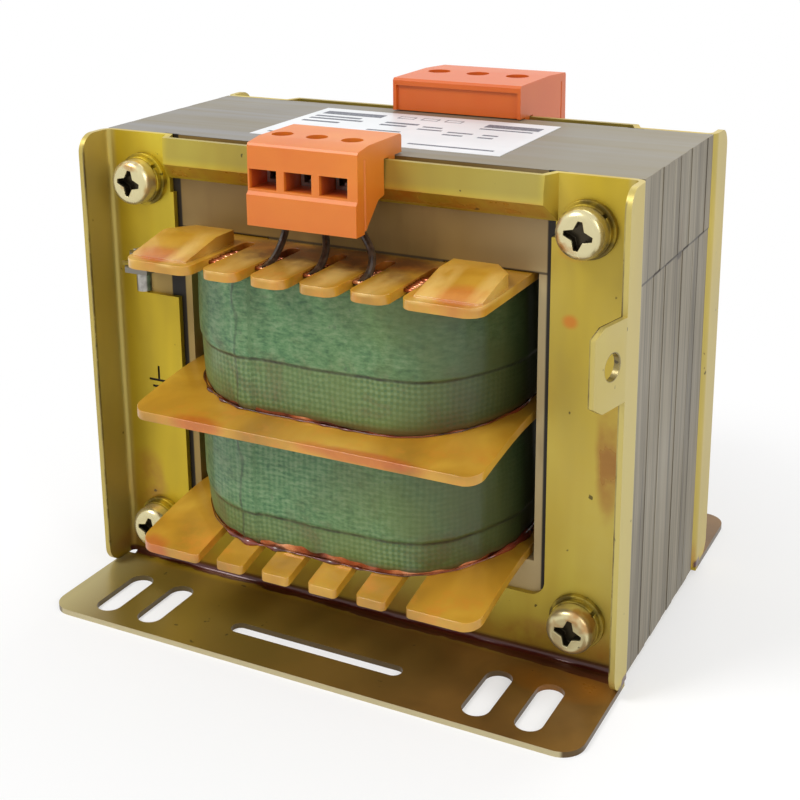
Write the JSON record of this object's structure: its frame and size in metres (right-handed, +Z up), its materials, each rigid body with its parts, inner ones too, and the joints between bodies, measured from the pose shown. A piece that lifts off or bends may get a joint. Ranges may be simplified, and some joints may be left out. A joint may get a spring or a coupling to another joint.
{
  "type": "laminated chassis transformer",
  "caption": "Open-frame laminated mains transformer with pressed steel foot frames, a chambered bobbin with taped windings and screw terminal blocks on both sides.",
  "frame": {"origin": "centre of the bounding box, at the underside of the two feet", "axes": "+Z up from the feet, X along the width of the core, Y through the stack with the block that has the smaller pitch towards -Y"},
  "size_m": [0.1516, 0.132, 0.136],
  "materials": {
    "core_steel": "satin, edges of stacked sheets, thinly varnished",
    "zinc_yellow": "yellow chromate over zinc, with dried varnish",
    "bobbin_nylon": "matt amber nylon with darker varnish runs",
    "copper_wire": "enamelled copper",
    "green_tape": "woven tape, varnished",
    "orange_nylon": "smooth orange nylon",
    "nickel": "nickel plated",
    "label_film": "white film",
    "lead_sleeve": "black woven sleeve, varnished"
  },
  "bodies": {
    "root": {"e_laminations": "core_steel", "i_laminations": "core_steel", "front_frame": "zinc_yellow", "rear_frame": "zinc_yellow", "bobbin": "bobbin_nylon", "upper_winding": "copper_wire", "lower_winding": "copper_wire", "upper_tape": "green_tape", "lower_tape": "green_tape", "front_housing": "orange_nylon", "rear_housing": "orange_nylon", "front_cages": "nickel", "rear_cages": "nickel", "front_screws": "nickel", "rear_screws": "nickel", "front_tails": "nickel", "rear_tails": "nickel", "front_leads": "lead_sleeve", "rear_leads": "lead_sleeve", "clamp_bolts": "zinc_yellow", "spring_washers": "zinc_yellow", "front_washers": "zinc_yellow", "rear_washers": "zinc_yellow", "clamp_nuts": "zinc_yellow", "rating_label": "label_film", "earth_screw": "nickel", "earth_washer": "zinc_yellow"}
  },
  "joints": []
}
